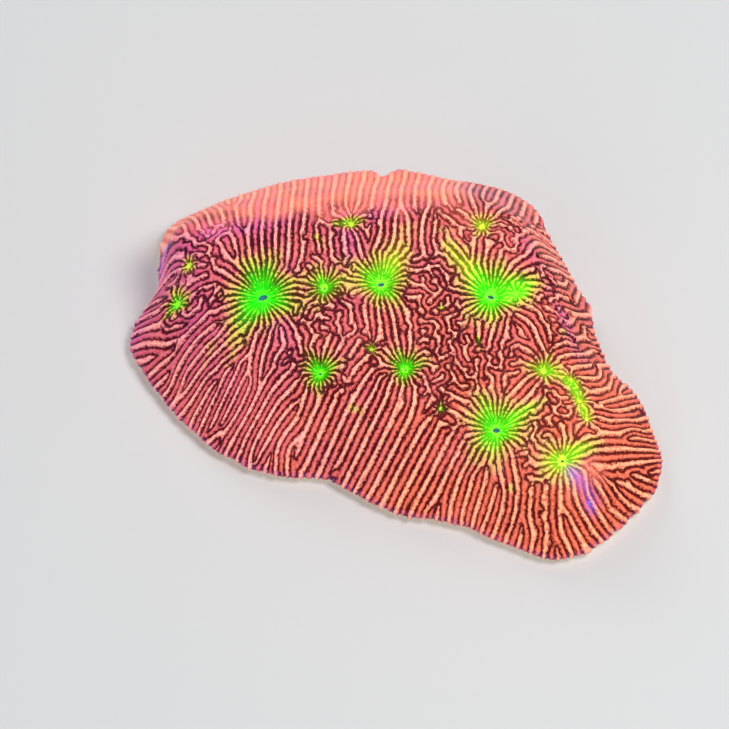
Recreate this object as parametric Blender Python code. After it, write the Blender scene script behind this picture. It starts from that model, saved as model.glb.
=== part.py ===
"""A small colony of plate coral (leptoseris): one ribbed, domed crust of stony coral, cut off flat underneath.

X runs along its longest side, Y towards the high back edge, and Z up from the cut.
"""

import math

import bpy
import numpy as np

# Lengths are in millimetres, and become metres as the mesh is made.
MM = 0.001

# Driving dimensions
RIM_HEIGHT = 1.0  # top of the thin growing edge, above the cut
RIM_LOWER = 0.75  # height where the edge's upright side ends
LIP_INSET = 0.35  # how far the rounded edge draws in below that
LIP_LOWER = 0.45  # height where the underside starts
CUT_INSET = 2.2  # how far inside the edge the flat cut starts
RIB_PITCH = 1.5  # from one raised rib to the next
RIB_HEIGHT = 0.34
RIB_SEED = 4
MOST_TRIANGLES = 9400

# The growing edge, seen from above, clockwise from the far left corner.
RIM = [
    (-17.6, 10.9), (-14.5, 13.3), (-9.5, 15.4), (-5.0, 16.4), (-1.9, 16.8), (-0.8, 16.2), (0.6, 16.9),
    (3.8, 16.1), (8.3, 15.1), (11.1, 13.1), (12.0, 10.4), (13.7, 6.7), (14.8, 4.4), (15.3, 1.5),
    (16.4, -1.3), (18.3, -3.6), (19.4, -7.0), (19.7, -9.4), (19.0, -11.7), (16.0, -14.8), (12.2, -16.9),
    (8.1, -15.5), (4.5, -13.9), (0.0, -13.0), (-3.8, -10.8), (-5.6, -10.1), (-9.4, -9.7), (-13.4, -7.6),
    (-16.8, -4.0), (-19.3, -0.3), (-19.7, 2.1), (-18.9, 4.0), (-17.8, 6.2),
]

# Where the top turns down into the skirt, with its height there, the same way round.
SHOULDER = [
    (-16.7, 7.0, 6.6), (-14.5, 7.0, 8.0), (-12.3, 7.2, 8.6), (-9.3, 7.4, 8.8), (-6.3, 7.5, 8.9),
    (-3.7, 7.9, 9.1), (-1.1, 8.2, 9.2), (1.9, 8.6, 9.1), (4.6, 8.8, 8.9), (7.2, 8.5, 8.5), (9.3, 7.4, 8.0),
    (10.6, 5.4, 7.5), (11.2, 3.0, 7.0), (11.7, 0.6, 6.7), (12.3, -1.8, 6.4), (13.2, -4.3, 6.2),
    (14.0, -6.6, 6.0), (14.8, -9.0, 5.6), (14.6, -11.2, 5.0), (12.9, -12.8, 4.6), (10.5, -12.3, 4.7),
    (7.7, -11.2, 4.8), (4.6, -10.0, 4.9), (1.8, -9.0, 5.1), (-1.0, -8.0, 5.2), (-4.0, -6.9, 5.3),
    (-7.0, -5.7, 5.5), (-10.0, -4.2, 5.6), (-13.0, -2.4, 5.6), (-15.2, 0.2, 5.4), (-15.8, 2.4, 5.8),
    (-16.3, 4.6, 6.2),
]

# Heights on the top itself, inside the shoulder.
TOP = [
    (-10.0, 5.5, 8.5), (-4.0, 6.0, 8.9), (1.5, 6.3, 8.9), (6.0, 6.0, 8.6), (-9.0, 3.0, 8.2), (0.0, 3.0, 8.2),
    (8.0, 1.0, 7.7), (0.0, -3.0, 7.0), (8.0, -6.0, 6.5), (11.5, -8.5, 6.2), (-9.0, -2.0, 6.7),
]

# Each polyp's cup: centre x and y, reach of its ribs, number of ribs, depth.
POLYPS = [
    (-9.8, 1.8, 3.3, 10, 1.0), (-5.2, 2.2, 1.7, 6, 0.6), (-1.0, 2.7, 2.6, 8, 0.9), (7.2, 1.8, 3.0, 9, 0.9),
    (9.1, 1.8, 1.0, 4, 0.3), (6.6, 7.1, 1.4, 5, 0.5), (-3.2, 7.0, 0.9, 4, 0.3), (-16.2, 2.3, 1.2, 4, 0.3),
    (-15.3, 4.4, 0.8, 4, 0.2), (-5.5, -4.2, 1.7, 6, 0.7), (0.8, -4.0, 1.7, 6, 0.7), (3.5, 0.6, 0.6, 4, 0.2),
    (11.0, -4.3, 1.5, 6, 0.5), (13.4, -5.8, 1.3, 5, 0.3), (14.1, -8.3, 1.0, 4, 0.2), (7.5, -8.5, 3.0, 9, 0.9),
    (12.5, -11.3, 2.1, 7, 0.5),
]

# How the ribs are drawn: how strongly the edge and each polyp turn them, and how far each reaches.
EDGE_PULL, EDGE_REACH = 2.2, 5.0
POLYP_PULL, POLYP_REACH = 6.0, 0.75
WEAKEST_PULL = 0.25  # below about this pull the ribs wander
SPOKE_REACH = 0.8  # share of a polyp's reach where its ribs are straight spokes
PITCH_SPREAD = 0.17  # how much the ribs' pitch may vary
TURN_STEPS, TURN_SPREAD, WAVE_SPREAD = 12, 0.2, 0.22  # directions that are tried, and how widely each counts
ROUNDS = 26

# The grid that the shape is worked out on.
CELL = 0.15
ROWS, COLUMNS = 270, 300
MESH_SIDE = 260  # points along each side of the square that is stretched over the top


def grid_axes():
    """Plan positions of the grid's columns and rows."""
    across = (np.arange(COLUMNS) - (COLUMNS - 1) / 2) * CELL
    along = (np.arange(ROWS) - (ROWS - 1) / 2) * CELL
    return across, along


def sampled(field, x, y):
    """A grid field's value at plan positions, between its nearest four points."""
    across, along = grid_axes()
    column = np.clip((x - across[0]) / CELL, 0, COLUMNS - 1.001)
    row = np.clip((y - along[0]) / CELL, 0, ROWS - 1.001)
    i, j = row.astype(int), column.astype(int)
    s, t = row - i, column - j
    near = (1 - t) * field[i, j] + t * field[i, j + 1]
    far = (1 - t) * field[i + 1, j] + t * field[i + 1, j + 1]
    return (1 - s) * near + s * far


def closed_curve(points, per_span=16):
    """A smooth closed curve through the points."""
    here = np.array(points, float)[:, None]
    before, after, beyond = (np.roll(here, shift, 0) for shift in (1, -1, -2))
    t = np.linspace(0, 1, per_span, endpoint=False)[None, :, None]
    slope = after - before
    bend = 2 * before - 5 * here + 4 * after - beyond
    twist = 3 * here - before - 3 * after + beyond
    return (0.5 * (2 * here + slope * t + bend * t**2 + twist * t**3)).reshape(-1, 2)


def rim_distance(curve):
    """How far each grid point is inside the edge, negative outside it."""
    x, y = np.meshgrid(*grid_axes())
    nearest = np.full(x.shape, np.inf)
    inside = np.zeros(x.shape, bool)
    for (ax, ay), (bx, by) in zip(curve, np.roll(curve, -1, 0)):
        dx, dy = bx - ax, by - ay
        t = np.clip(((x - ax) * dx + (y - ay) * dy) / (dx * dx + dy * dy), 0, 1)
        nearest = np.minimum(nearest, (x - ax - t * dx) ** 2 + (y - ay - t * dy) ** 2)
        if ay != by:
            inside ^= ((ay > y) != (by > y)) & (x < dx * (y - ay) / dy + ax)
    return np.sqrt(nearest) * np.where(inside, 1, -1)


def frequencies():
    return np.fft.rfftfreq(COLUMNS, CELL)[None, :], np.fft.fftfreq(ROWS, CELL)[:, None]


def blurred(field, spread):
    """The field with detail finer than the spread smoothed away."""
    fx, fy = frequencies()
    keep = np.exp(-2 * (math.pi * spread) ** 2 * (fx**2 + fy**2))
    return np.fft.irfft2(np.fft.rfft2(field) * keep, s=(ROWS, COLUMNS))


def thin_plate(points, x, y, slack=0.02):
    """Heights at x and y of the smoothest sheet through the points."""
    p = np.array(points, float)
    count = len(p)

    def bend(squared):
        return 0.5 * squared * np.log(squared + 1e-9)

    system = np.zeros((count + 3, count + 3))
    system[:count, :count] = bend(((p[:, None, :2] - p[None, :, :2]) ** 2).sum(-1)) + slack * np.eye(count)
    system[:count, count] = 1
    system[:count, count + 1 :] = p[:, :2]
    system[count:, :count] = system[:count, count:].T
    weights = np.linalg.solve(system, np.append(p[:, 2], [0, 0, 0]))
    total = weights[count] + weights[count + 1] * x + weights[count + 2] * y
    for (px, py, _), weight in zip(p, weights):
        total = total + weight * bend((x - px) ** 2 + (y - py) ** 2)
    return total


def dome(curve):
    """The top's height on the grid, with the polyps' cups but without ribs."""
    x, y = np.meshgrid(*grid_axes())
    edge = [(px, py, RIM_HEIGHT) for px, py in curve[::5]]
    height = thin_plate(edge + SHOULDER + TOP, x, y)
    for px, py, reach, _, depth in POLYPS:
        height -= depth * np.exp(-((x - px) ** 2 + (y - py) ** 2) / (0.5 * reach) ** 2)
    return height


def rib_directions(distance):
    """Which way the ribs run, and how firmly: out from each polyp, and square to the edge near it."""
    x, y = np.meshgrid(*grid_axes())
    slope_y, slope_x = np.gradient(blurred(distance, 0.8), CELL)
    outward = np.arctan2(slope_y, slope_x)
    total = EDGE_PULL * np.exp(-((np.maximum(distance, 0) / EDGE_REACH) ** 2))
    cosine, sine = total * np.cos(2 * outward), total * np.sin(2 * outward)
    for px, py, reach, _, _ in POLYPS:
        around = np.arctan2(y - py, x - px)
        weight = POLYP_PULL * np.exp(-np.hypot(x - px, y - py) / (POLYP_REACH * reach))
        cosine += weight * np.cos(2 * around)
        sine += weight * np.sin(2 * around)
        total += weight
    firmness = 1.15 * np.hypot(cosine, sine) / (total + WEAKEST_PULL)
    return 0.5 * np.arctan2(sine, cosine), np.clip(firmness, 0, 1)


def rib_pattern(distance):
    """A field that is 1 on each rib's crest and -1 in the groove beside it.

    Noise is filtered to the ribs' pitch over and over, each place keeping the waves that run its own way.
    """
    x, y = np.meshgrid(*grid_axes())
    direction, firmness = rib_directions(distance)
    fx, fy = frequencies()
    ring = np.exp(-0.5 * ((np.hypot(fx, fy) * RIB_PITCH - 1) / PITCH_SPREAD) ** 2)
    filters = []
    for angle in np.arange(TURN_STEPS) * math.pi / TURN_STEPS:
        off = (np.arctan2(fy, fx) - angle) % math.pi - math.pi / 2
        turn = (direction - angle + math.pi / 2) % math.pi - math.pi / 2
        share = 2.2 * firmness * np.exp(-0.5 * (turn / TURN_SPREAD) ** 2) + 0.55 * (1 - firmness)
        filters.append((ring * np.exp(-0.5 * (off / WAVE_SPREAD) ** 2), share))
    spokes = []
    for px, py, reach, ribs, _ in POLYPS:
        inner = np.clip((SPOKE_REACH * reach - np.hypot(x - px, y - py)) / 0.5 + 0.5, 0, 1)
        spokes.append((inner, np.cos(ribs * np.arctan2(y - py, x - px))))
    waves = np.random.default_rng(RIB_SEED).standard_normal((ROWS, COLUMNS))
    for _ in range(ROUNDS):
        spectrum = np.fft.rfft2(waves)
        kept = sum(share * np.fft.irfft2(spectrum * passed, s=waves.shape) for passed, share in filters)
        waves = np.tanh(1.6 * kept / np.sqrt(blurred(kept**2, 1.2) + 1e-6))
        for inner, value in spokes:
            waves += (value - waves) * inner
    return waves


def rim_radius(curve, angle):
    """Distance from the origin to the edge in each direction."""
    order = np.argsort(np.arctan2(curve[:, 1], curve[:, 0]))
    turned = np.arctan2(curve[order, 1], curve[order, 0])
    return np.interp(angle, turned, np.hypot(*curve[order].T), period=2 * math.pi)


def stretched_square(curve):
    """Plan positions of a square net of points, stretched to fill the outline."""
    u, v = np.meshgrid(*[np.linspace(-1, 1, MESH_SIDE)] * 2)
    x, y = u * np.sqrt(1 - v**2 / 2), v * np.sqrt(1 - u**2 / 2)
    radius = rim_radius(curve, np.arctan2(y, x))
    return x * radius, y * radius


def border_loop():
    """Indices of the net's border points, in order round it, anticlockwise."""
    net = np.arange(MESH_SIDE**2).reshape(MESH_SIDE, MESH_SIDE)
    return np.concatenate([net[0, :-1], net[:-1, -1], net[-1, :0:-1], net[:0:-1, 0]])


def colony_mesh():
    """The whole crust as points and faces: ribbed top, rounded edge, underside and flat cut."""
    curve = closed_curve(RIM)
    distance = rim_distance(curve)
    height = dome(curve)
    ribs = RIB_HEIGHT * 0.5 * (rib_pattern(distance) + 1)
    slope_y, slope_x = np.gradient(height, CELL)

    x, y = (side.ravel() for side in stretched_square(curve))
    slope = np.stack([-sampled(slope_x, x, y), -sampled(slope_y, x, y), np.ones_like(x)], -1)
    normal = slope / np.linalg.norm(slope, axis=1)[:, None]
    top = np.stack([x, y, sampled(height, x, y)], -1) + normal * sampled(ribs, x, y)[:, None]

    border = border_loop()
    edge = top[border]
    inward = -edge[:, :2] / np.linalg.norm(edge[:, :2], axis=1)[:, None]
    rings = [border]
    points = [top]
    count = len(top)
    for inset, level in ((0.0, RIM_LOWER), (LIP_INSET, LIP_LOWER), (CUT_INSET, 0.0)):
        ring = np.column_stack([edge[:, :2] + inward * inset, np.full(len(edge), level)])
        points.append(ring)
        rings.append(np.arange(count, count + len(edge)))
        count += len(edge)

    net = np.arange(MESH_SIDE**2).reshape(MESH_SIDE, MESH_SIDE)
    corners = net[:-1, :-1], net[:-1, 1:], net[1:, 1:], net[1:, :-1]
    faces = np.stack([corner.ravel() for corner in corners], -1).tolist()
    for upper, lower in zip(rings, rings[1:]):
        beside = np.roll(upper, -1), np.roll(lower, -1)
        faces += np.stack([beside[0], upper, lower, beside[1]], -1).tolist()
    faces.append(rings[-1][::-1].tolist())
    return np.concatenate(points), faces


def coral_material():
    material = bpy.data.materials.new("coral_tissue")
    material.use_nodes = True
    shader = material.node_tree.nodes["Principled BSDF"]
    shader.inputs["Base Color"].default_value = (0.80, 0.24, 0.20, 1)
    shader.inputs["Roughness"].default_value = 0.45
    shader.inputs["Metallic"].default_value = 0.0
    return material


def thinned(obj, most):
    """The object's mesh with the faces that shape it least merged away, and its cut exactly flat."""
    triangles = sum(len(face.vertices) - 2 for face in obj.data.polygons)
    thin = obj.modifiers.new("Thin", "DECIMATE")
    thin.ratio = most / triangles
    graph = bpy.context.evaluated_depsgraph_get()
    mesh = bpy.data.meshes.new_from_object(obj.evaluated_get(graph))
    obj.modifiers.remove(thin)
    for vertex in mesh.vertices:
        if vertex.co.z < 0.03 * MM:
            vertex.co.z = 0
    return mesh


def build_colony():
    points, faces = colony_mesh()
    mesh = bpy.data.meshes.new("coral_colony")
    mesh.from_pydata((points * MM).tolist(), [], faces)
    colony = bpy.data.objects.new("coral_colony", mesh)
    bpy.context.scene.collection.objects.link(colony)
    colony.data = thinned(colony, MOST_TRIANGLES)
    bpy.data.meshes.remove(mesh)
    colony.data.name = "coral_colony"
    colony.data.materials.append(coral_material())
    colony.data.shade_smooth()


def main():
    for obj in list(bpy.data.objects):
        bpy.data.objects.remove(obj)
    build_colony()


main()
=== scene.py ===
"""The looks of a small colony of plate coral (leptoseris): wet, glowing tissue over fine stony ribs."""

import math
from collections import namedtuple

import bpy
import numpy as np
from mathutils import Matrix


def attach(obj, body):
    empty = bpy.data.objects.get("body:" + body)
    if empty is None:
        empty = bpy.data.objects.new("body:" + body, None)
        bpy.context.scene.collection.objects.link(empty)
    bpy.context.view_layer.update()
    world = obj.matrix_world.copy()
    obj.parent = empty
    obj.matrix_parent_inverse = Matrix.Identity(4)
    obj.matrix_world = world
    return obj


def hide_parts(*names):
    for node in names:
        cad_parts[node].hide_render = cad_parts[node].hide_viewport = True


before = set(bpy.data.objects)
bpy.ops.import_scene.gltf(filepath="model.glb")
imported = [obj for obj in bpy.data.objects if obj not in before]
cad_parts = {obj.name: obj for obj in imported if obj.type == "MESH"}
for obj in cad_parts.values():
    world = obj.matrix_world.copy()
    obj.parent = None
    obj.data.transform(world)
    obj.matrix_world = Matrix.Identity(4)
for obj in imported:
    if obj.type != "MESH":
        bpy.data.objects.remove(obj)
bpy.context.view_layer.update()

# Lengths are in millimetres, and become metres as a mesh, light or camera is made.
MM = 0.001

# The crust, with the same values as in the solid
RIM_HEIGHT = 1.0  # top of the thin growing edge, above the cut
RIM_LOWER = 0.75  # height where the edge's upright side ends
LIP_INSET = 0.35  # how far the edge draws in below that
LIP_LOWER = 0.45  # height where the underside starts
CUT_INSET = 2.2  # how far inside the edge the flat cut starts

# Small waves of the edge, as sines round it: depth as a share of the radius, number of waves, and how
# much and how often they crowd together.
SCALLOPS = [(0.004, 23, 2, 5), (0.003, 61, 3, 9)]

# The living ribs: high cream ones, with lower salmon ones between them
RIB_PITCH = 1.04  # from one cream rib to the next
FINE_PITCH = 0.74  # the same where the ribs are finest
CREAM_HEIGHT = 0.30
SALMON_HEIGHT = 0.22
FAR_FLATTER = 0.4  # share of their height that is lost beyond the crest
RIB_SEED = 11

# How hard the guides pull on the ribs' direction
STROKE_PULL = 2.2
EDGE_PULL, EDGE_REACH = 1.7, 3.4
POLYP_PULL, POLYP_REACH = 9.0, 0.95
WEAKEST_PULL = 0.12  # below about this pull the ribs wander
ENOUGH_STROKES = 1.6  # pull of the strokes where they take over from the edge

# The bends of wandering ribs: their size in mm, and how far they turn the ribs, in radians
SHORT_BEND, SHORT_TURN = 0.3, 0.34
LONG_BEND, LONG_TURN = 1.1, 0.05
FIRM_CALM = 0.12  # how much less the short bends turn them where the pull is firm

# How the pattern of ribs grows out of noise
PITCH_SPREAD = 0.2  # how much the ribs' pitch may vary
HEADINGS = 12  # directions that the waves are sorted into
TURN_SPREAD, WAVE_SPREAD = 0.22, 0.25  # how widely each heading counts, and how far its waves turn from it
FIRM_SHARE, LOOSE_SHARE = 2.2, 0.55  # how strongly waves of the ribs' own heading count, and in mazes all do
ROUNDS = 34
SPOKE_REACH = 0.8  # share of a polyp's reach where its ribs are straight spokes

# The polyps' slit mouths, and the raised lip round each
MOUTH_DEPTH = 0.25
MOUTH_LIP = 0.16

# The growing edge, seen from above, clockwise from the far left corner.
RIM = [
    (-17.6, 10.9), (-14.5, 13.3), (-9.5, 15.4), (-5.0, 16.4), (-1.9, 16.8), (-0.8, 16.2), (0.6, 16.9),
    (3.8, 16.1), (8.3, 15.1), (11.1, 13.1), (12.0, 10.4), (13.7, 6.7), (14.8, 4.4), (15.3, 1.5),
    (16.4, -1.3), (18.3, -3.6), (19.4, -7.0), (19.7, -9.4), (19.0, -11.7), (16.0, -14.8), (12.2, -16.9),
    (8.1, -15.5), (4.5, -13.9), (0.0, -13.0), (-3.8, -10.8), (-5.6, -10.1), (-9.4, -9.7), (-13.4, -7.6),
    (-16.8, -4.0), (-19.3, -0.3), (-19.7, 2.1), (-18.9, 4.0), (-17.8, 6.2),
]

# Where the top turns down into the skirt, with its height there, the same way round.
SHOULDER = [
    (-16.7, 7.0, 6.6), (-14.5, 7.0, 8.0), (-12.3, 7.2, 8.6), (-9.3, 7.4, 8.8), (-6.3, 7.5, 8.9),
    (-3.7, 7.9, 9.1), (-1.1, 8.2, 9.2), (1.9, 8.6, 9.1), (4.6, 8.8, 8.9), (7.2, 8.5, 8.5),
    (9.3, 7.4, 8.0), (10.6, 5.4, 7.5), (11.2, 3.0, 7.0), (11.7, 0.6, 6.7), (12.3, -1.8, 6.4),
    (13.2, -4.3, 6.2), (14.0, -6.6, 6.0), (14.8, -9.0, 5.6), (14.6, -11.2, 5.0), (12.9, -12.8, 4.6),
    (10.5, -12.3, 4.7), (7.7, -11.2, 4.8), (4.6, -10.0, 4.9), (1.8, -9.0, 5.1), (-1.0, -8.0, 5.2),
    (-4.0, -6.9, 5.3), (-7.0, -5.7, 5.5), (-10.0, -4.2, 5.6), (-13.0, -2.4, 5.6), (-15.2, 0.2, 5.4),
    (-15.8, 2.4, 5.8), (-16.3, 4.6, 6.2),
]

# Heights on the top itself, inside the shoulder.
TOP = [
    (-10.0, 5.5, 8.5), (-4.0, 6.0, 8.9), (1.5, 6.3, 8.9), (6.0, 6.0, 8.6), (-9.0, 3.0, 8.2),
    (0.0, 3.0, 8.2), (8.0, 1.0, 7.7), (0.0, -3.0, 7.0), (8.0, -6.0, 6.5), (11.5, -8.5, 6.2),
    (-9.0, -2.0, 6.7),
]

# Each polyp: centre x and y, reach of its ribs, number of ribs, depth of its cup, green glow, length of its
# mouth, and how far it turns from green to gold.
Polyp = namedtuple("Polyp", "x y reach ribs depth glow mouth gold")
POLYPS = [Polyp(*row) for row in (
    (-9.8, 1.8, 3.3, 16, 1.0, 1.0, 0.75, 0.0), (-5.2, 2.2, 1.7, 10, 0.6, 0.85, 0.3, 0.4),
    (-1.0, 2.7, 2.6, 14, 0.9, 1.0, 0.55, 0.5), (7.2, 1.8, 3.0, 14, 0.9, 1.0, 0.5, 0.35),
    (9.1, 1.8, 1.1, 6, 0.3, 1.0, 0.0, 0.4), (6.6, 7.1, 1.4, 8, 0.5, 0.65, 0.0, 1.0),
    (-3.2, 7.0, 0.9, 6, 0.3, 0.55, 0.0, 0.7), (-16.2, 2.3, 1.2, 7, 0.3, 0.8, 0.0, 0.2),
    (-15.3, 4.4, 0.8, 6, 0.2, 0.55, 0.0, 0.4), (-5.5, -4.2, 1.7, 10, 0.7, 0.95, 0.25, 0.3),
    (0.8, -4.0, 1.7, 10, 0.7, 0.95, 0.25, 0.35), (-1.7, -2.7, 0.6, 5, 0.2, 0.7, 0.15, 0.6),
    (3.5, 0.6, 0.5, 4, 0.2, 0.5, 0.15, 0.2), (3.4, -7.2, 0.6, 5, 0.2, 0.6, 0.15, 0.2),
    (11.0, -4.3, 1.5, 8, 0.5, 0.75, 0.2, 0.9), (13.0, -4.8, 0.9, 6, 0.3, 0.3, 0.0, 1.0),
    (13.6, -6.5, 0.9, 6, 0.3, 0.3, 0.0, 1.0), (14.1, -8.0, 0.8, 5, 0.2, 0.25, 0.0, 1.0),
    (7.5, -8.5, 2.9, 14, 0.9, 1.0, 0.6, 0.5), (12.3, -11.1, 2.1, 10, 0.5, 0.68, 0.3, 1.0),
)]

# Streaks of green down the ribs, beyond the polyps: from x, y to x, y, half width, strength.
STREAKS = [
    (-10.4, 0.8, -12.2, -2.8, 0.8, 0.4), (-0.4, 3.8, 1.2, 7.4, 1.0, 0.24),
    (6.6, 2.4, 4.2, 5.0, 0.8, 0.42), (4.4, 4.6, 2.8, 7.8, 0.9, 0.2), (7.8, 1.9, 9.4, 1.9, 0.7, 0.75),
    (9.6, 1.9, 10.6, 3.0, 0.5, 0.5), (8.6, -7.9, 11.0, -6.8, 0.4, 0.5),
    (11.6, -4.4, 13.4, -5.4, 0.4, 0.45), (13.0, -5.2, 14.1, -7.6, 0.6, 0.75),
    (13.8, -7.4, 14.2, -8.4, 0.4, 0.4), (13.0, -10.8, 15.2, -9.6, 0.6, 0.45),
    (11.6, -11.3, 10.3, -12.4, 0.5, 0.4), (-4.3, 7.0, -2.2, 7.2, 0.35, 0.45),
    (-1.8, -8.0, -1.6, -8.2, 0.4, 0.22), (-0.7, -8.9, -0.5, -9.1, 0.35, 0.22),
    (6.2, -2.0, 6.3, -2.9, 0.2, 0.5), (-3.0, -6.8, -2.2, -7.2, 0.35, 0.32),
    (-13.4, -1.6, -14.4, -3.0, 0.35, 0.22), (12.4, -0.6, 12.6, -1.3, 0.25, 0.35),
    (-5.8, 5.9, -5.2, 5.2, 0.4, 0.3), (8.5, -12.6, 8.8, -12.9, 0.25, 0.35),
]

# Patches where the ribs lose their way and turn into a maze: centre x and y, radius.
MAZES = [
    (3.2, 2.6, 1.9), (3.4, 0.0, 2.3), (4.1, -2.6, 2.1), (-14.0, 4.4, 1.2), (-14.0, 1.6, 1.5),
    (-6.0, -0.6, 1.8), (-3.6, 3.6, 0.8), (2.9, -5.0, 1.5), (5.8, -4.6, 2.0), (8.2, -3.6, 1.4),
    (10.0, -9.0, 1.6), (11.4, 1.2, 1.2), (11.2, 3.8, 0.9), (8.2, 5.8, 1.3), (12.6, -7.0, 1.0),
    (-13.0, 6.6, 0.9), (-2.8, -1.6, 0.8),
]

# How the ribs run away from the polyps: x, y, degrees from +X, radius.
STROKES = [
    (-11.5, 5.0, 102, 2.0), (-8.5, 5.2, 88, 2.0), (-5.0, 5.2, 96, 1.5), (-3.0, 4.6, 108, 1.5),
    (0.6, 5.8, 92, 1.8), (2.6, 5.6, 98, 1.5), (4.6, 4.8, 108, 1.5), (7.6, 4.8, 122, 1.4),
    (5.0, 7.0, 126, 1.4), (-12.8, -0.6, 32, 1.8), (-9.8, -1.8, 68, 1.6), (-7.4, -2.0, 94, 1.5),
    (-2.6, 0.0, 104, 1.5), (-2.6, -2.8, 74, 1.0), (-5.4, -1.4, 92, 1.0), (7.8, 0.2, 84, 1.2),
    (0.2, -1.0, 100, 1.5), (-3.0, -5.6, 64, 1.8), (1.0, -7.2, 66, 1.8), (-0.6, -5.2, 74, 1.2),
    (3.4, -9.2, 62, 1.5), (7.6, -1.8, 96, 1.6), (10.6, -2.0, 114, 1.4), (8.6, -4.4, 98, 1.3),
    (5.8, -11.0, 84, 1.8), (9.0, -11.6, 86, 1.4), (-8.6, -4.6, 54, 1.8), (9.6, 5.2, 70, 1.4),
    (12.8, -14.0, 124, 2.2), (13.2, 4.0, 72, 2.0), (13.6, 1.8, 60, 1.8), (13.6, -0.8, 34, 1.4),
    (15.6, -3.0, 54, 2.2), (16.6, -5.6, 43, 2.4), (18.2, -8.4, 33, 2.4), (18.0, -11.0, 20, 2.4),
    (15.2, -8.6, 10, 1.6), (-18.0, 1.8, 155, 1.8), (-18.2, -0.6, 0, 1.8), (-16.0, -1.0, 20, 1.8),
    (-15.6, -3.4, 18, 2.2), (-13.0, -5.6, 38, 2.0), (-15.5, 9.5, 102, 2.6), (-12.0, 11.0, 94, 3.0),
    (-8.0, 12.0, 90, 3.0), (-4.0, 12.5, 90, 3.0), (0.0, 13.0, 88, 3.0), (4.0, 12.8, 86, 3.0),
    (8.6, 11.4, 84, 2.6), (-11.0, -4.4, 50, 2.4), (-8.6, -6.0, 50, 2.4), (-6.0, -7.4, 46, 2.4),
    (-3.4, -7.6, 45, 2.4), (-1.4, -9.2, 52, 2.2), (0.8, -9.6, 62, 2.0), (0.6, -12.0, 68, 1.6),
    (3.6, -11.4, 76, 2.2), (17.2, -12.8, 157, 1.6), (15.4, -14.6, 136, 1.6),
]

# Where the ribs are finest: from x, y to x, y, half width, strength.
FINE = [
    (-13.5, -4.0, -9.0, -7.5, 2.4, 1.0), (-9.0, -7.5, -13.5, -4.0, 2.4, 0.6),
    (6.5, -13.5, 9.5, -13.0, 2.2, 0.6), (15.5, -3.5, 18.2, -9.5, 2.0, 0.5),
    (18.2, -9.5, 15.5, -3.5, 2.0, 0.4),
]

# Rosy violet tissue, with the fourth and sixth streaks as painted purple shade on the steep left side: from
# x, y to x, y, half width, strength.
ROSE_AND_SHADE = [
    (-13.8, 6.6, -8.0, 7.3, 0.7, 0.8), (-3.5, 7.2, -3.2, 4.4, 0.8, 0.7), (-1.6, 7.6, 3.0, 8.6, 0.6, 0.5),
    (-16.0, 5.2, -15.0, 0.2, 1.5, 0.4), (-9.0, 0.2, -8.0, -2.0, 0.9, 0.5),
    (-19.5, 2.0, -18.0, 5.5, 1.2, 0.45), (-13.0, -1.0, -10.5, -0.6, 0.6, 0.35),
    (12.4, 1.0, 13.6, -2.4, 0.6, 0.6), (9.8, 5.8, 11.8, 1.8, 0.7, 0.35), (5.5, 12.6, 9.5, 10.8, 1.6, 0.3),
]

# The line in plan where the top ends at the far side. Beyond it the grooves are shallow, and the tissue and
# grooves are painted paler, as painted light on the far side.
CREST = [
    (-18.0, 7.6), (-15.8, 7.2), (-12.0, 7.2), (-8.0, 7.4), (-3.5, 7.3), (-1.0, 7.3), (2.0, 7.5),
    (4.2, 7.8), (6.4, 7.8), (8.6, 9.0), (11.0, 11.0),
]

# The painted light pales the tissue with each mm past the crest, up to this, which falls to 0 between these
# x values.
PALE_MOST = 3.0
PALE_FADE = (2.5, 6.5)

# The low mound at the right is pale too: centre x and y, half width, and how much paler than the top.
PALE_MOUND = (13.4, -11.6, 2.45, 3.0)
PALE_TOP = -1.8

# Golden tissue away from the golden polyps: from x, y to x, y, half width, strength.
GOLDEN = [
    (0.2, 4.4, 1.2, 8.0, 1.4, 0.9), (5.2, 3.8, 2.8, 8.2, 1.2, 0.9), (13.0, -5.0, 14.2, -8.0, 0.9, 1.0),
]

# Lilac marks on the low mound, and painted purple shade on the left edge, the last streak: from x, y to x,
# y, half width, strength.
LILAC_AND_SHADE = [
    (13.0, -12.0, 14.5, -13.3, 0.5, 0.5), (14.2, -13.7, 14.4, -14.0, 0.3, 0.6),
    (-17.2, 8.2, -17.8, 6.2, 0.7, 0.45),
]

# The grid that the ribs are worked out on, and the net that is stretched over the top.
CELL = 0.075
ROWS, COLUMNS = 540, 600
NET = 620  # points along each side of the square that is stretched over the top
MOST_TRIANGLES = 190000

# The texture square: the middle and half size of the top's patch, and the cut's middle and scale below it.
TOP_MIDDLE, TOP_HALF = (0.5, 0.57), (0.455, 0.39)
CUT_MIDDLE, CUT_SCALE = (0.1, 0.07), (220, 320)
RING_STEP = 0.025  # how much wider each ring under the edge is laid out

# The tissue is given a painted glow, light of its own that stands for its glow under blue light and also
# brightens it.
PAINTED_TISSUE_GLOW = 0.42

# The stage: half the floor's side, and each lamp's name, place, width and power
FLOOR_HALF = 600
LAMPS = [
    ("key", (110, -40, 250), 120, 0.42),
    ("fill", (-120, -220, 160), 240, 0.13),
    ("back", (-120, 220, 160), 160, 0.2),
]

# The camera looks down from the front, its aim a little left of the middle.
VIEW_RISE = math.radians(60)
VIEW_DISTANCE = 300
VIEW_AIM = (-2.217, -1.673, 3.0)
VIEW_LENS = 197.5


def grid_axes():
    """Plan positions of the grid's columns and rows."""
    across = (np.arange(COLUMNS) - (COLUMNS - 1) / 2) * CELL
    along = (np.arange(ROWS) - (ROWS - 1) / 2) * CELL
    return across, along


def between(field, row, column):
    """A field's value at fractions of its rows and columns, from the nearest four."""
    i, j = row.astype(int), column.astype(int)
    s, t = row - i, column - j
    near = (1 - t) * field[i, j] + t * field[i, j + 1]
    far = (1 - t) * field[i + 1, j] + t * field[i + 1, j + 1]
    return (1 - s) * near + s * far


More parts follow.
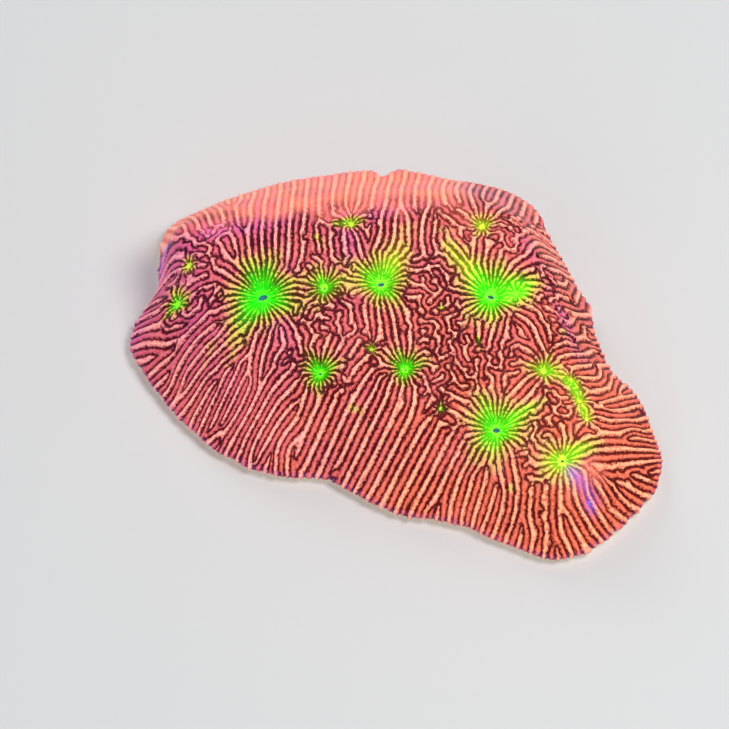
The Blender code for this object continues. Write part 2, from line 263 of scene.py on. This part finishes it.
def sampled(field, x, y):
    """A grid field's value at plan positions."""
    across, along = grid_axes()
    column = np.clip((x - across[0]) / CELL, 0, COLUMNS - 1.001)
    row = np.clip((y - along[0]) / CELL, 0, ROWS - 1.001)
    return between(field, row, column)


def closed_curve(points, per_span=16):
    """A smooth closed curve through the points."""
    here = np.array(points, float)[:, None]
    before, after, beyond = (np.roll(here, shift, 0) for shift in (1, -1, -2))
    t = np.linspace(0, 1, per_span, endpoint=False)[None, :, None]
    slope = after - before
    bend = 2 * before - 5 * here + 4 * after - beyond
    twist = 3 * here - before - 3 * after + beyond
    return (0.5 * (2 * here + slope * t + bend * t**2 + twist * t**3)).reshape(-1, 2)


def rim_distance(curve, step=3):
    """How far each grid point is inside the edge, negative outside it, from every third grid point."""
    across, along = grid_axes()
    x, y = np.meshgrid(across[::step], along[::step])
    nearest = np.full(x.shape, np.inf)
    inside = np.zeros(x.shape, bool)
    for (ax, ay), (bx, by) in zip(curve, np.roll(curve, -1, 0)):
        dx, dy = bx - ax, by - ay
        t = np.clip(((x - ax) * dx + (y - ay) * dy) / (dx * dx + dy * dy), 0, 1)
        nearest = np.minimum(nearest, (x - ax - t * dx) ** 2 + (y - ay - t * dy) ** 2)
        if ay != by:
            inside ^= ((ay > y) != (by > y)) & (x < dx * (y - ay) / dy + ax)
    coarse = np.sqrt(nearest) * np.where(inside, 1, -1)
    rows = np.minimum(np.arange(ROWS) / step, coarse.shape[0] - 1.001)
    columns = np.minimum(np.arange(COLUMNS) / step, coarse.shape[1] - 1.001)
    return between(coarse, rows[:, None], columns[None, :])


def frequencies():
    """The grid's wave counts per mm, across and along."""
    return np.fft.rfftfreq(COLUMNS, CELL)[None, :], np.fft.fftfreq(ROWS, CELL)[:, None]


def blurred(field, spread):
    """The field with detail finer than the spread smoothed away."""
    fx, fy = frequencies()
    keep = np.exp(-2 * (math.pi * spread) ** 2 * (fx**2 + fy**2))
    return np.fft.irfft2(np.fft.rfft2(field) * keep, s=(ROWS, COLUMNS))


def thin_plate(points, x, y, slack=0.02):
    """Heights at x and y of the smoothest sheet through the points."""
    p = np.array(points, float)
    count = len(p)

    def bend(squared):
        return 0.5 * squared * np.log(squared + 1e-9)

    system = np.zeros((count + 3, count + 3))
    system[:count, :count] = bend(((p[:, None, :2] - p[None, :, :2]) ** 2).sum(-1)) + slack * np.eye(count)
    system[:count, count] = 1
    system[:count, count + 1 :] = p[:, :2]
    system[count:, :count] = system[:count, count:].T
    weights = np.linalg.solve(system, np.append(p[:, 2], [0, 0, 0]))
    total = weights[count] + weights[count + 1] * x + weights[count + 2] * y
    for (px, py, _), weight in zip(p, weights):
        total = total + weight * bend((x - px) ** 2 + (y - py) ** 2)
    return total


def spot(x, y, px, py, radius):
    """1 at a place, fading away round it."""
    return np.exp(-((x - px) ** 2 + (y - py) ** 2) / radius**2)


def smooth_step(value, low, high):
    """0 at the low value and 1 at the high one, easing in and out."""
    t = np.clip((value - low) / (high - low), 0, 1)
    return t * t * (3 - 2 * t)


def dome(curve):
    """The top's height on the grid, with the polyps' cups but without ribs."""
    x, y = np.meshgrid(*grid_axes())
    edge = [(px, py, RIM_HEIGHT) for px, py in curve[::5]]
    height = thin_plate(edge + SHOULDER + TOP, x, y)
    for polyp in POLYPS:
        height -= polyp.depth * spot(x, y, polyp.x, polyp.y, 0.5 * polyp.reach)
    return height


def wandering(x, y, firmness):
    """How far the ribs are turned off their course, in short bends and long ones, less beyond the crest."""
    noise = np.random.default_rng(RIB_SEED + 1).standard_normal(x.shape)
    level = 1 - 0.6 * beyond_crest(x, y)
    short_turn = (SHORT_TURN - FIRM_CALM * np.clip(firmness, 0, 1)) * level
    wander = np.zeros_like(x)
    for bend, turn in ((SHORT_BEND, short_turn), (LONG_BEND, LONG_TURN * level**2)):
        lumps = blurred(noise, bend)
        wander += lumps * turn / lumps.std()
    return wander


def rib_directions(distance):
    """Which way the ribs run, and how firmly: out from the polyps, along the strokes, square to the edge."""
    x, y = np.meshgrid(*grid_axes())
    cosine, sine, total = np.zeros_like(x), np.zeros_like(x), np.zeros_like(x)

    def pull(weight, angle):
        nonlocal cosine, sine, total
        cosine = cosine + weight * np.cos(2 * angle)
        sine = sine + weight * np.sin(2 * angle)
        total = total + weight

    for px, py, degrees, radius in STROKES:
        pull(STROKE_PULL * spot(x, y, px, py, radius), math.radians(degrees))

    slope_y, slope_x = np.gradient(blurred(distance, 1.3), CELL)
    edge = EDGE_PULL * np.exp(-((np.maximum(distance, 0) / EDGE_REACH) ** 2))
    edge *= (1 - 0.9 * np.clip(total / ENOUGH_STROKES, 0, 1)) * (1 - 0.85 * beyond_crest(x, y))
    pull(edge, np.arctan2(slope_y, slope_x))

    for polyp in POLYPS:
        away = np.hypot(x - polyp.x, y - polyp.y) / (POLYP_REACH * polyp.reach)
        pull(POLYP_PULL * np.exp(-(away**1.7)), np.arctan2(y - polyp.y, x - polyp.x))

    firmness = np.hypot(cosine, sine) / (total + WEAKEST_PULL)
    for px, py, radius in MAZES:
        firmness *= 1 - np.exp(-(((x - px) ** 2 + (y - py) ** 2) / radius**2) ** 2)
    directions = 0.5 * np.arctan2(sine, cosine) + wandering(x, y, firmness)
    return directions, np.clip(1.15 * firmness, 0, 1)


def pitch_ring(pitch):
    """A filter that keeps the waves of about one pitch, whichever way they run."""
    return np.exp(-0.5 * ((np.hypot(*frequencies()) * pitch - 1) / PITCH_SPREAD) ** 2)


def rib_filters(direction, firmness, fine):
    """The filters of both pitches and every heading, each with its share of the pattern at each place."""
    fx, fy = frequencies()
    for pitch, part in ((RIB_PITCH, 1 - fine), (FINE_PITCH, fine)):
        ring = pitch_ring(pitch)
        for angle in np.arange(HEADINGS) * math.pi / HEADINGS:
            off = (np.arctan2(fy, fx) - angle) % math.pi - math.pi / 2
            turn = (direction - angle + math.pi / 2) % math.pi - math.pi / 2
            share = FIRM_SHARE * firmness * np.exp(-0.5 * (turn / TURN_SPREAD) ** 2)
            share += LOOSE_SHARE * (1 - firmness)
            yield ring * np.exp(-0.5 * (off / WAVE_SPREAD) ** 2), share * part


def polyp_spokes(x, y):
    """Where each polyp's ribs are straight spokes, and the pattern's value there."""
    for polyp in POLYPS:
        inner = smooth_step(SPOKE_REACH * polyp.reach - np.hypot(x - polyp.x, y - polyp.y), -0.25, 0.25)
        yield inner, np.cos(polyp.ribs * np.arctan2(y - polyp.y, x - polyp.x) + 7 * polyp.x)


def rib_pattern(distance):
    """A field that is 1 along each cream rib, -1 along each salmon one and 0 in the groove between them.

    Noise is filtered to the ribs' pitch over and over, each place keeping the waves that run its own way.
    """
    x, y = np.meshgrid(*grid_axes())
    direction, firmness = rib_directions(distance)
    fine = np.clip(streaks_together(x, y, FINE), 0, 1)
    filters = list(rib_filters(direction, firmness, fine))
    spokes = list(polyp_spokes(x, y))
    waves = np.random.default_rng(RIB_SEED).standard_normal((ROWS, COLUMNS))
    knots = np.fft.irfft2(np.fft.rfft2(waves) * pitch_ring(FINE_PITCH), s=waves.shape)
    knots *= (1 - firmness) / knots.std()
    for _ in range(ROUNDS):
        spectrum = np.fft.rfft2(waves)
        kept = sum(share * np.fft.irfft2(spectrum * passed, s=waves.shape) for passed, share in filters)
        kept = kept / np.sqrt(blurred(kept**2, 1.2) + 1e-6) + knots
        waves = np.tanh(1.6 * kept)
        for inner, value in spokes:
            waves += (value - waves) * inner
            kept += (value - kept) * inner
    steep_y, steep_x = np.gradient(kept, CELL)
    pitch = RIB_PITCH + (FINE_PITCH - RIB_PITCH) * fine
    return np.arctan2(kept * 2 * math.pi / pitch, np.hypot(steep_x, steep_y) + 0.3) * 2 / math.pi


def streak_strength(x, y, streak):
    """How strong a streak is: fading along its length, and falling off to its sides and ends."""
    ax, ay, bx, by, width, strength = streak
    dx, dy = bx - ax, by - ay
    t = np.clip(((x - ax) * dx + (y - ay) * dy) / (dx * dx + dy * dy), 0, 1)
    off = (x - ax - t * dx) ** 2 + (y - ay - t * dy) ** 2
    return strength * (1 - 0.6 * t) * np.exp(-off / width**2)


def streaks_together(x, y, streaks):
    """How strong a list of streaks is, added up."""
    return sum(streak_strength(x, y, streak) for streak in streaks)


def glow_field(x, y):
    """How green the tissue is: 1 at a bright polyp's centre, 0 well away from any."""
    dark = np.ones_like(x)
    for polyp in POLYPS:
        around = np.arctan2(y - polyp.y, x - polyp.x)
        ragged = 1 + 0.14 * np.sin(3 * around + polyp.x) + 0.1 * np.sin(7 * around + 3 * polyp.y)
        away = np.hypot(x - polyp.x, y - polyp.y) / (polyp.reach * ragged)
        dark *= 1 - polyp.glow * np.exp(-((away / 0.6) ** 1.5))
    for streak in STREAKS:
        dark *= 1 - streak_strength(x, y, streak)
    return 1 - dark


def past_crest(x, y):
    """How far past the crest a point is, in mm, towards the far side."""
    return y - np.interp(x, *zip(*CREST))


def beyond_crest(x, y):
    """0 on the top and 1 beyond the crest, where the far side falls away."""
    return smooth_step(past_crest(x, y), 0.0, 1.0)


def paleness(x, y):
    """How pale the tissue is painted: by the mm past the crest, as painted light on the far side, or as a
    like amount on the pale mound.
    """
    past = np.minimum(past_crest(x, y), PALE_MOST - PALE_MOST * smooth_step(x, *PALE_FADE))
    mx, my, spread, lift = PALE_MOUND
    return np.maximum(past, PALE_TOP + lift * spot(x, y, mx, my, spread))


def gold_strength(x, y):
    """How golden the tissue is: strongest round some of the polyps, and wider than their green."""
    plain = np.ones_like(x)
    for polyp in POLYPS:
        plain *= 1 - polyp.gold * spot(x, y, polyp.x, polyp.y, 1.3 * polyp.reach + 0.3)
    for streak in GOLDEN:
        plain *= 1 - streak_strength(x, y, streak)
    return 1 - plain


def mouth_field(x, y):
    """1 inside each polyp's slit mouth, and the raised lip round it as a second field."""
    mouth, lip = np.zeros_like(x), np.zeros_like(x)
    for polyp in POLYPS:
        if not polyp.mouth:
            continue
        tilt = 0.35 * math.sin(5 * polyp.x)
        along = (x - polyp.x) * math.cos(tilt) + (y - polyp.y) * math.sin(tilt)
        across = (y - polyp.y) * math.cos(tilt) - (x - polyp.x) * math.sin(tilt)
        size = np.hypot(along / (0.5 * polyp.mouth), across / (0.3 * polyp.mouth))
        mouth = np.maximum(mouth, 1 - smooth_step(size, 0.75, 1.1))
        lip = np.maximum(lip, np.exp(-(((size - 1.5) / 0.5) ** 2)))
    return mouth, lip


def centre_field(x, y):
    """1 at each polyp's centre, where its ribs meet in one smooth spot."""
    centre = np.zeros_like(x)
    for polyp in POLYPS:
        centre = np.maximum(centre, spot(x, y, polyp.x, polyp.y, 0.14 * polyp.reach + 0.12))
    return centre


def rib_height(ribs):
    """Height of the rounded ribs over the grooves between them."""
    swell = np.sin(0.5 * math.pi * np.abs(ribs)) ** 0.8
    return swell * np.where(ribs > 0, CREAM_HEIGHT, SALMON_HEIGHT)


def rim_radius(curve, angle):
    """Distance from the origin to the edge in each direction."""
    order = np.argsort(np.arctan2(curve[:, 1], curve[:, 0]))
    turned = np.arctan2(curve[order, 1], curve[order, 0])
    return np.interp(angle, turned, np.hypot(*curve[order].T), period=2 * math.pi)


def stretched_net(curve):
    """A square net stretched over the outline: its own coordinates, then its points' places in plan."""
    u, v = np.meshgrid(*[np.linspace(-1, 1, NET)] * 2)
    disc_x, disc_y = u * np.sqrt(1 - v**2 / 2), v * np.sqrt(1 - u**2 / 2)
    around = np.arctan2(disc_y, disc_x)
    radius = rim_radius(curve, around)
    radius *= 1 + sum(
        depth * np.sin(waves * around + crowding * np.sin(often * around))
        for depth, waves, crowding, often in SCALLOPS
    )
    return u.ravel(), v.ravel(), (disc_x * radius).ravel(), (disc_y * radius).ravel()


def raised(height, relief, x, y):
    """Points on the dome, each moved out square to the dome by the relief there."""
    slope_y, slope_x = np.gradient(height, CELL)
    slope = np.stack([-sampled(slope_x, x, y), -sampled(slope_y, x, y), np.ones_like(x)], -1)
    normal = slope / np.linalg.norm(slope, axis=1)[:, None]
    return np.stack([x, y, sampled(height, x, y)], -1) + normal * sampled(relief, x, y)[:, None]


def closed_crust(top):
    """All of the crust's points and faces from its top's, with each point's own top point and its level.

    The level is 0 on the top, 1 and 2 where the edge's side and its lip end, and 3 where the cut starts.
    """
    net = np.arange(NET**2).reshape(NET, NET)
    border = np.concatenate([net[0, :-1], net[:-1, -1], net[-1, :0:-1], net[:0:-1, 0]])
    edge = top[border]
    inward = -edge[:, :2] / np.linalg.norm(edge[:, :2], axis=1)[:, None]
    points, rings, levels = [top], [border], [np.zeros(len(top))]
    steps = (0.0, RIM_LOWER), (LIP_INSET, LIP_LOWER), (CUT_INSET, 0.0)
    for level, (inset, rise) in enumerate(steps, 1):
        points.append(np.column_stack([edge[:, :2] + inward * inset, np.full(len(edge), rise)]))
        rings.append(len(top) + (level - 1) * len(edge) + np.arange(len(edge)))
        levels.append(np.full(len(edge), float(level)))

    corners = net[:-1, :-1], net[:-1, 1:], net[1:, 1:], net[1:, :-1]
    faces = np.stack([corner.ravel() for corner in corners], -1).tolist()
    for upper, lower in zip(rings, rings[1:]):
        faces += np.stack([np.roll(upper, -1), upper, lower, np.roll(lower, -1)], -1).tolist()
    faces.append(rings[-1][::-1].tolist())
    source = np.concatenate([np.arange(len(top))] + [border] * len(steps))
    return np.concatenate(points), faces, source, np.concatenate(levels)


def colony_points():
    """The crust's points and faces, and what the finish needs to know at each point."""
    curve = closed_curve(RIM)
    distance = rim_distance(curve)
    height = dome(curve)
    ribs = rib_pattern(distance)
    grid_x, grid_y = np.meshgrid(*grid_axes())
    mouth, lip = mouth_field(grid_x, grid_y)
    centre = centre_field(grid_x, grid_y)
    relief = rib_height(ribs) * (1 - centre) * (1 - FAR_FLATTER * beyond_crest(grid_x, grid_y))
    relief = relief + MOUTH_LIP * lip - MOUTH_DEPTH * mouth
    ribs = ribs * (1 - centre) + centre

    u, v, x, y = stretched_net(curve)
    points, faces, source, levels = closed_crust(raised(height, relief, x, y))
    # The pink to orange value is 0 for the pinkest tissue, towards the left, which is painted darker there
    # as shade, and 1 for the most orange, and full is 1 on the skirts.
    fields = {
        "rib": sampled(ribs, x, y)[source],
        "glow": sampled(glow_field(grid_x, grid_y), x, y)[source],
        "mouth": sampled(mouth, x, y)[source],
        "inset": sampled(distance, x, y)[source],
        "lilac_and_shade": streaks_together(x, y, LILAC_AND_SHADE)[source],
        "hue_and_shade": (0.5 + 0.022 * x - 0.02 * y)[source],
        "beyond": paleness(x, y)[source],
        "full": smooth_step(sampled(distance, x, y), 7.5, 2.5)[source],
        "rose_and_shade": streaks_together(x, y, ROSE_AND_SHADE)[source],
        "gold": gold_strength(x, y)[source],
        "under": levels,
        "net_u": u[source],
        "net_v": v[source],
    }
    return points, faces, fields


def places_of(mesh):
    """Every point's place, as rows of x, y and z in metres."""
    places = np.empty(len(mesh.vertices) * 3, np.float32)
    mesh.vertices.foreach_get("co", places)
    return places.reshape(-1, 3)


def thinned(obj, most):
    """The object's mesh with the faces that shape it least merged away, and its cut exactly flat."""
    triangles = sum(len(face.vertices) - 2 for face in obj.data.polygons)
    thin = obj.modifiers.new("Thin", "DECIMATE")
    thin.ratio = most / triangles
    thin.use_collapse_triangulate = True
    graph = bpy.context.evaluated_depsgraph_get()
    mesh = bpy.data.meshes.new_from_object(obj.evaluated_get(graph))
    obj.modifiers.remove(thin)
    places = places_of(mesh)
    places[places[:, 2] < 0.01 * MM, 2] = 0
    mesh.vertices.foreach_set("co", places.ravel())
    return mesh


def values_of(mesh, name):
    """One of the mesh's point attributes, as an array."""
    values = np.empty(len(mesh.vertices), np.float32)
    mesh.attributes[name].data.foreach_get("value", values)
    return values


def lay_out(mesh):
    """A UV map: the top, edge and underside as one square, and the flat cut in a strip below it."""
    corners = np.empty(len(mesh.loops), np.int32)
    mesh.loops.foreach_get("vertex_index", corners)
    places = places_of(mesh) / MM
    spread = 1 + RING_STEP * values_of(mesh, "under")
    top = np.column_stack([
        middle + half * values_of(mesh, name) * spread
        for middle, half, name in zip(TOP_MIDDLE, TOP_HALF, ("net_u", "net_v"))
    ])
    cut = np.array(CUT_MIDDLE) + places[:, :2] / np.array(CUT_SCALE)
    flat = (places[:, 2] == 0)[corners].reshape(-1, 3).all(axis=1)
    uv = np.where(np.repeat(flat, 3)[:, None], cut[corners], top[corners])
    layer = mesh.uv_layers.new(name="OFBake")
    layer.data.foreach_set("uv", uv.astype(np.float32).ravel())


def hex_colour(code):
    """A linear colour from its usual six-digit code."""
    parts = [int(code[i : i + 2], 16) / 255 for i in (0, 2, 4)]
    linear = [part / 12.92 if part <= 0.04045 else ((part + 0.055) / 1.055) ** 2.4 for part in parts]
    return (*linear, 1.0)


class Nodes:
    """Short names for building a material's nodes."""

    def __init__(self, tree):
        self.tree = tree

    def add(self, kind, **settings):
        node = self.tree.nodes.new(kind)
        for name, value in settings.items():
            setattr(node, name, value)
        return node

    def set(self, socket, value):
        if isinstance(value, bpy.types.NodeSocket):
            self.tree.links.new(value, socket)
        else:
            socket.default_value = value

    def attribute(self, name):
        return self.add("ShaderNodeAttribute", attribute_name=name).outputs["Fac"]

    def math(self, operation, a, b=0.0, c=0.0):
        node = self.add("ShaderNodeMath", operation=operation)
        for socket, value in zip(node.inputs, (a, b, c)):
            self.set(socket, value)
        return node.outputs[0]

    def step(self, value, low, high, start=0.0, end=1.0):
        """The start at the low value and the end at the high one, easing in and out."""
        node = self.add("ShaderNodeMapRange", interpolation_type="SMOOTHSTEP")
        names = ("Value", "From Min", "From Max", "To Min", "To Max")
        for name, given in zip(names, (value, low, high, start, end)):
            self.set(node.inputs[name], given)
        return node.outputs[0]

    def mix(self, amount, a, b):
        """The colour a, turned to b by the amount. Each is a socket, or a code of six digits."""
        node = self.add("ShaderNodeMix", data_type="RGBA")
        for socket, value in zip((node.inputs[0], node.inputs[6], node.inputs[7]), (amount, a, b)):
            self.set(socket, hex_colour(value) if isinstance(value, str) else value)
        return node.outputs[2]

    def ramp(self, value, *stops):
        """A run of colours along the value, from stops of place and six-digit code."""
        node = self.add("ShaderNodeValToRGB")
        self.set(node.inputs[0], value)
        elements = node.color_ramp.elements
        elements.remove(elements[1])
        elements[0].position, elements[0].color = stops[0][0], hex_colour(stops[0][1])
        for place, code in stops[1:]:
            elements.new(place).color = hex_colour(code)
        return node.outputs[0]

    def noise(self, scale, detail=3.0, rough=0.5):
        """Noise whose lumps are about 1 / scale millimetres across."""
        place = self.add("ShaderNodeTexCoord").outputs["Object"]
        node = self.add("ShaderNodeTexNoise")
        self.set(node.inputs["Vector"], place)
        self.set(node.inputs["Scale"], scale / MM)
        self.set(node.inputs["Detail"], detail)
        self.set(node.inputs["Roughness"], rough)
        return node.outputs["Fac"]


def ridge_mask(n, side, glow, gold):
    """1 on the ribs and 0 in the grooves, with ribs that are wider in some places than in others."""
    widen = n.math("MULTIPLY_ADD", n.noise(0.4, 2.0), 0.5, -0.3)
    widen = n.math("MULTIPLY_ADD", n.attribute("full"), 0.06, widen)
    halo = n.math("MULTIPLY", glow, n.math("SUBTRACT", 1.0, glow))
    widen = n.math("MULTIPLY_ADD", halo, -0.45, widen)
    widen = n.math("MULTIPLY_ADD", gold, 0.1, widen)
    return n.step(n.math("ADD", side, widen), 0.18, 0.6)


def plain_colours(n, rib, high, gold, gold_squared):
    """Groove and ridge colours away from the polyps, with a painted highlight along the ribs' tops, painted
    shade on their flanks and partly painted shade in the grooves.
    """
    # Pink to orange, with the pinkest tissue, towards the left, painted darker as shade.
    hue_and_shade = n.math("ADD", n.attribute("hue_and_shade"), n.math("SUBTRACT", n.noise(0.3), 0.5))
    # Past the crest the tissue is painted paler, as painted light on the far side; the low mound is paler
    # too.
    beyond = n.math("MULTIPLY_ADD", n.noise(0.4), 5.0, n.math("SUBTRACT", n.attribute("beyond"), 2.5))
    pale = n.step(beyond, -0.6, 2.0)
    blush = n.ramp(n.noise(0.35), (0.35, "fa9a78"), (0.65, "f08088"))
    # Rosy violet tint of ribs and grooves, which on the steep left side is painted purple shade.
    rose_and_shade = n.attribute("rose_and_shade")

    cream = n.ramp(hue_and_shade, (0.0, "f4a4a0"), (0.5, "ffb8a6"), (1.0, "ffb68c"))
    cream = n.mix(n.math("MULTIPLY", gold, 0.7), cream, "fcc48c")
    # Off the rib tops both kinds of rib are painted darker, as shade on their flanks, which leaves a painted
    # highlight along the tops.
    cream = n.mix(high, n.ramp(hue_and_shade, (0.0, "e07880"), (1.0, "ec8060")), cream)
    cream = n.mix(n.math("MULTIPLY", pale, 0.75), cream, n.mix(0.35, blush, "ffc898"))
    # The salmon ribs are painted darker than the cream ones, partly their own tone and partly painted shade
    # on these lower ribs.
    salmon = n.ramp(hue_and_shade, (0.0, "d06078"), (0.5, "e47872"), (1.0, "ec7c60"))
    salmon = n.mix(high, n.ramp(hue_and_shade, (0.0, "c44e64"), (1.0, "d05a40")), salmon)
    salmon = n.mix(n.math("MULTIPLY", pale, 0.8), salmon, blush)
    ridge = n.mix(n.step(rib, -0.1, 0.15), salmon, cream)
    ridge = n.mix(n.math("MULTIPLY", rose_and_shade, 0.5), ridge, "e868d0")

    # The dark groove colour is partly the tissue's own and partly painted shade in the grooves; past the
    # crest it is painted paler, as less shade in the shallow grooves.
    groove = n.ramp(hue_and_shade, (0.0, "48041c"), (1.0, "540606"))
    groove = n.mix(rose_and_shade, groove, "3a0630")
    groove = n.mix(n.math("MULTIPLY", gold_squared, 0.6), groove, "7c3828")
    faded = n.math("MULTIPLY", pale, n.step(n.noise(0.6, 2.0), 0.35, 0.6, 0.75, 1.0))
    groove = n.mix(faded, groove, "dc6c58")
    return groove, ridge


def polyp_colours(n, glow, high, gold, gold_squared):
    """Groove and ridge colours where the tissue glows, in green turning to gold, with painted shade on the
    ribs' flanks and partly painted shade in the grooves.
    """
    lit = n.ramp(glow, (0.1, "f4a880"), (0.22, "f0b474"), (0.3, "e8c464"), (0.4, "d4dc54"), (0.5, "b8f048"),
                 (0.65, "94fc34"), (0.85, "58fc1c"), (1.0, "40f830"))
    gilt = n.ramp(glow, (0.1, "f8b88c"), (0.3, "f8cc6c"), (0.5, "f0ec50"), (0.7, "d8f440"), (1.0, "a8f434"))
    lit = n.mix(gold, lit, gilt)
    # Away from the rib tops the green is painted darker, as shade on the flanks, except where the glow is
    # strongest.
    lit = n.mix(n.math("MAXIMUM", high, n.step(glow, 0.5, 0.8)), n.mix(0.2, lit, "5a6008"), lit)
    # The dark green in the grooves is partly the tissue's own and partly painted shade.
    deep = n.ramp(glow, (0.1, "52100c"), (0.22, "481c0c"), (0.3, "403008"), (0.38, "384c06"),
                  (0.5, "2c8404"), (0.65, "20b802"), (0.85, "10dc04"))
    tan = n.ramp(glow, (0.1, "6c2018"), (0.22, "7c3c1c"), (0.35, "806c18"), (0.5, "88a814"),
                 (0.7, "70c80c"))
    deep = n.mix(gold_squared, deep, tan)
    return deep, lit


def coral_material():
    """The living tissue, from the values kept at each of the mesh's points."""
    material = bpy.data.materials.new("coral_tissue")
    material.use_nodes = True
    n = Nodes(material.node_tree)
    shader = material.node_tree.nodes["Principled BSDF"]

    glow, gold = n.attribute("glow"), n.attribute("gold")
    gold_squared = n.math("MULTIPLY", gold, gold)
    # The noise makes beads along the ribs. Side is 0 in a groove and 1 along a rib's top, of either kind.
    beads = n.math("MULTIPLY_ADD", n.noise(4.4, 2.0, 0.65), 1.5, -0.75)
    rib = n.math("ADD", n.attribute("rib"), beads)
    side = n.math("ABSOLUTE", rib)
    # High is 1 along each rib's top, where it makes a painted highlight; the ribs are painted darker away
    # from it, as shade on their flanks.
    high = n.step(side, 0.45, 0.95)
    on_rib = ridge_mask(n, side, glow, gold)
    patchy = n.math("MULTIPLY_ADD", n.noise(1.6, 2.0), 0.3, n.math("SUBTRACT", glow, 0.15))

    colour = n.mix(on_rib, *plain_colours(n, rib, high, gold, gold_squared))
    glowing = n.mix(on_rib, *polyp_colours(n, patchy, high, gold, gold_squared))
    colour = n.mix(n.step(patchy, 0.08, 0.24), colour, glowing)
    colour = n.mix(n.step(n.attribute("mouth"), 0.3, 0.8), colour, "3a6a80")
    # Lilac marks, which at the left edge are painted purple shade.
    colour = n.mix(n.attribute("lilac_and_shade"), colour, "a070e8")
    fringe = n.step(n.attribute("inset"), 0.0, 0.3, 0.12, 0.0)
    colour = n.mix(fringe, colour, "8a50b8")
    bare = n.step(n.attribute("under"), 1.3, 2.0)
    colour = n.mix(bare, colour, "e8ddc8")

    n.set(shader.inputs["Base Color"], colour)
    n.set(shader.inputs["Roughness"], 0.45)
    n.set(shader.inputs["Specular IOR Level"], 0.15)
    # Painted glow: the tissue gives out its own colour as light.
    n.set(shader.inputs["Emission Color"], colour)
    n.set(shader.inputs["Emission Strength"], PAINTED_TISSUE_GLOW)

    bump = n.add("ShaderNodeBump")
    n.set(bump.inputs["Height"], n.noise(9.0, 2.0))
    n.set(bump.inputs["Strength"], 0.35)
    n.set(bump.inputs["Distance"], 0.05 * MM)
    n.set(shader.inputs["Normal"], bump.outputs["Normal"])
    return material


def build_colony():
    """The whole colony, in place of the solid."""
    points, faces, fields = colony_points()
    mesh = bpy.data.meshes.new("coral_colony_fine")
    mesh.from_pydata((points * MM).tolist(), [], faces)
    for name, values in fields.items():
        attribute = mesh.attributes.new(name, "FLOAT", "POINT")
        attribute.data.foreach_set("value", values.astype(np.float32))
    colony = bpy.data.objects.new("colony", mesh)
    bpy.context.scene.collection.objects.link(colony)
    colony.data = thinned(colony, MOST_TRIANGLES)
    bpy.data.meshes.remove(mesh)
    lay_out(colony.data)
    colony.data.materials.append(coral_material())
    colony.data.shade_smooth()
    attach(colony, "root")
    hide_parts("coral_colony")


def build_floor():
    """A pale matt floor that the colony rests on."""
    mesh = bpy.data.meshes.new("floor")
    half = FLOOR_HALF * MM
    corners = [(-half, -half, 0), (half, -half, 0), (half, half, 0), (-half, half, 0)]
    mesh.from_pydata(corners, [], [(0, 1, 2, 3)])
    floor = bpy.data.objects.new("floor", mesh)
    bpy.context.scene.collection.objects.link(floor)
    material = bpy.data.materials.new("floor")
    material.use_nodes = True
    shader = material.node_tree.nodes["Principled BSDF"]
    shader.inputs["Base Color"].default_value = (0.78, 0.78, 0.77, 1)
    shader.inputs["Roughness"].default_value = 0.9
    mesh.materials.append(material)


def build_lights():
    """Soft lamps, and an even pale surround."""
    world = bpy.data.worlds.new("surround")
    world.use_nodes = True
    background = world.node_tree.nodes["Background"]
    background.inputs["Color"].default_value = (0.9, 0.93, 1.0, 1)
    background.inputs["Strength"].default_value = 0.3
    bpy.context.scene.world = world

    for name, place, width, power in LAMPS:
        light = bpy.data.lights.new(name, "AREA")
        light.shape = "DISK"
        light.size = width * MM
        light.energy = power
        lamp = bpy.data.objects.new(name, light)
        lamp.location = [side * MM for side in place]
        lamp.rotation_euler = lamp.location.to_track_quat("Z", "Y").to_euler()
        bpy.context.scene.collection.objects.link(lamp)


def build_camera():
    """The photo's view, as a camera that looks along +Y and down."""
    camera = bpy.data.cameras.new("camera")
    camera.lens = VIEW_LENS
    camera.clip_start = 10 * MM
    seat = bpy.data.objects.new("camera", camera)
    x, y, z = VIEW_AIM
    seat.location = (
        x * MM,
        (y - VIEW_DISTANCE * math.cos(VIEW_RISE)) * MM,
        (z + VIEW_DISTANCE * math.sin(VIEW_RISE)) * MM,
    )
    seat.rotation_euler = (math.pi / 2 - VIEW_RISE, 0, 0)
    bpy.context.scene.collection.objects.link(seat)
    bpy.context.scene.camera = seat


build_camera()
build_floor()
build_lights()
build_colony()
bpy.context.scene.view_settings.view_transform = "Standard"
